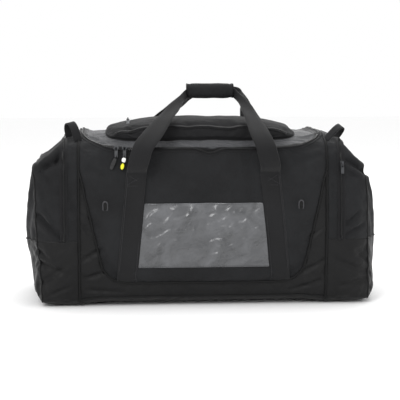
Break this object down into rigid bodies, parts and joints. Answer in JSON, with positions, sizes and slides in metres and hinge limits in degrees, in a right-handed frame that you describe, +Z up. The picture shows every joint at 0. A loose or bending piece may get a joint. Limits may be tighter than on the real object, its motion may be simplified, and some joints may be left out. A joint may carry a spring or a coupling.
{
  "type": "hockey equipment bag",
  "caption": "Long soft equipment bag with a zipped lid, zipped end compartments with coated boots, webbing carry handles joined by a wrap grip, and grab loops.",
  "frame": {"origin": "middle of the base, on the floor", "axes": "+X along the bag, -Y its front, with the name panel, and +Z up"},
  "size_m": [0.9152, 0.4498, 0.563],
  "materials": {
    "polyester": "matte woven polyester, coated behind",
    "lid_cloth": "small-check ripstop polyester, slight sheen",
    "coated_cloth": "heavy coated basket weave, satin",
    "tarpaulin": "creased vinyl-coated cloth, glossy in places",
    "webbing": "ribbed nylon webbing",
    "zip_tape": "knitted tape with a nylon coil",
    "piping": "binding over a cord, satin",
    "lining": "plain lining cloth, matte",
    "zinc": "die-cast zinc, tumbled",
    "rubber_black": "moulded, satin",
    "rubber_white": "moulded in white and yellow, satin"
  },
  "bodies": {
    "bag": {"front_panel": "polyester", "back_panel": "polyester", "front_band": "coated_cloth", "back_band": "coated_cloth", "bottom_panel": "coated_cloth", "gusset_left": "polyester", "gusset_right": "polyester", "end_cap_left": "coated_cloth", "end_cap_right": "coated_cloth", "divider_left": "lining", "divider_right": "lining", "end_zip_left": "zip_tape", "end_zip_right": "zip_tape", "main_zip_bag_tape": "zip_tape", "strap_front_left": "webbing", "strap_front_right": "webbing", "strap_back_left": "webbing", "strap_back_right": "webbing", "name_panel": "tarpaulin", "vent_front_left": "rubber_black", "vent_front_right": "rubber_black", "vent_back_left": "rubber_black", "vent_back_right": "rubber_black", "piping_front_curve": "piping", "piping_back_curve": "piping", "piping_seam_left": "piping", "piping_seam_right": "piping", "piping_cap_left": "piping", "piping_cap_right": "piping", "grab_loop_left": "webbing", "grab_loop_right": "webbing"},
    "lid": {"lid_panel": "lid_cloth", "main_zip_lid_tape": "zip_tape", "lid_pocket": "lid_cloth", "lid_pocket_zip": "zip_tape"},
    "front_handle": {"front_handle": "webbing", "grip_pad": "webbing"},
    "grip_flap": {"grip_flap": "webbing"},
    "back_handle": {"back_handle": "webbing"},
    "end_door_left": {"end_door_left": "polyester", "piping_door_left": "piping"},
    "end_door_right": {"end_door_right": "polyester", "piping_door_right": "piping"},
    "main_slider_a": {"main_slider_a": "zinc"},
    "main_slider_b": {"main_slider_b": "zinc"},
    "main_pull_a": {"main_tab_a": "zinc", "main_puller_a": "rubber_black"},
    "main_pull_b": {"main_tab_b": "zinc", "main_puller_b": "rubber_white"},
    "end_slider_left": {"end_slider_left": "zinc"},
    "end_slider_right": {"end_slider_right": "zinc"},
    "end_tab_left": {"end_tab_left": "zinc"},
    "end_tab_right": {"end_tab_right": "zinc"},
    "pocket_slider": {"pocket_slider": "zinc"},
    "pocket_tab": {"pocket_tab": "zinc"}
  },
  "joints": [
    {"name": "lid_open", "type": "hinge", "parent": "bag", "child": "lid", "pos_m": [0, 0.172, 0.4065], "axis": [-1, 0, 0], "range_deg": [0, 105]},
    {"name": "front_handle_swing", "type": "hinge", "parent": "bag", "child": "front_handle", "pos_m": [0, -0.206, 0.345], "axis": [1, 0, 0], "range_deg": [0, 157.5]},
    {"name": "back_handle_swing", "type": "hinge", "parent": "bag", "child": "back_handle", "pos_m": [0, 0.206, 0.345], "axis": [-1, 0, 0], "range_deg": [0, 157.5]},
    {"name": "grip_flap_open", "type": "hinge", "parent": "front_handle", "child": "grip_flap", "pos_m": [0.03, 0.0244, 0.5625], "axis": [1, 0, 0], "range_deg": [0, 140], "deforming": ["grip_flap"]},
    {"name": "end_door_left_open", "type": "hinge", "parent": "bag", "child": "end_door_left", "pos_m": [-0.456, 0, 0.1702], "axis": [0, -1, 0], "range_deg": [0, 100]},
    {"name": "end_door_right_open", "type": "hinge", "parent": "bag", "child": "end_door_right", "pos_m": [0.456, 0, 0.1702], "axis": [0, 1, 0], "range_deg": [0, 100]},
    {"name": "main_slider_a_slide", "type": "slide", "parent": "bag", "child": "main_slider_a", "axis": [1, 0, 0], "range_m": [-0.025, 0]},
    {"name": "main_slider_b_slide", "type": "slide", "parent": "bag", "child": "main_slider_b", "axis": [1, 0, 0], "range_m": [0, 0.42]},
    {"name": "main_pull_a_swing", "type": "hinge", "parent": "main_slider_a", "child": "main_pull_a", "pos_m": [-0.221, -0.18387, 0.40892], "axis": [-1, 0, 0], "range_deg": [0, 110]},
    {"name": "main_pull_b_swing", "type": "hinge", "parent": "main_slider_b", "child": "main_pull_b", "pos_m": [-0.2, -0.18387, 0.40892], "axis": [-1, 0, 0], "range_deg": [0, 110]},
    {"name": "end_slider_left_slide", "type": "slide", "parent": "bag", "child": "end_slider_left", "axis": [0, -0.0875, 0.9962], "range_m": [0, 0.14]},
    {"name": "end_slider_right_slide", "type": "slide", "parent": "bag", "child": "end_slider_right", "axis": [0, -0.0875, -0.9962], "range_m": [0, 0.145]},
    {"name": "end_tab_left_swing", "type": "hinge", "parent": "end_slider_left", "child": "end_tab_left", "pos_m": [-0.354, 0.20929, 0.22093], "axis": [1, 0, 0], "range_deg": [0, 110]},
    {"name": "end_tab_right_swing", "type": "hinge", "parent": "end_slider_right", "child": "end_tab_right", "pos_m": [0.354, -0.19665, 0.36493], "axis": [-1, 0, 0], "range_deg": [0, 110]},
    {"name": "pocket_slider_slide", "type": "slide", "parent": "lid", "child": "pocket_slider", "axis": [1, 0, 0], "range_m": [-0.025, 0.405]},
    {"name": "pocket_tab_swing", "type": "hinge", "parent": "pocket_slider", "child": "pocket_tab", "pos_m": [-0.1902, -0.11842, 0.47534], "axis": [-1, 0, 0], "range_deg": [0, 110]}
  ],
  "couplings": [
    {"joint": "front_handle_swing", "follows": "lid_open", "ratio": 1.5},
    {"joint": "back_handle_swing", "follows": "lid_open", "ratio": 1.5}
  ]
}
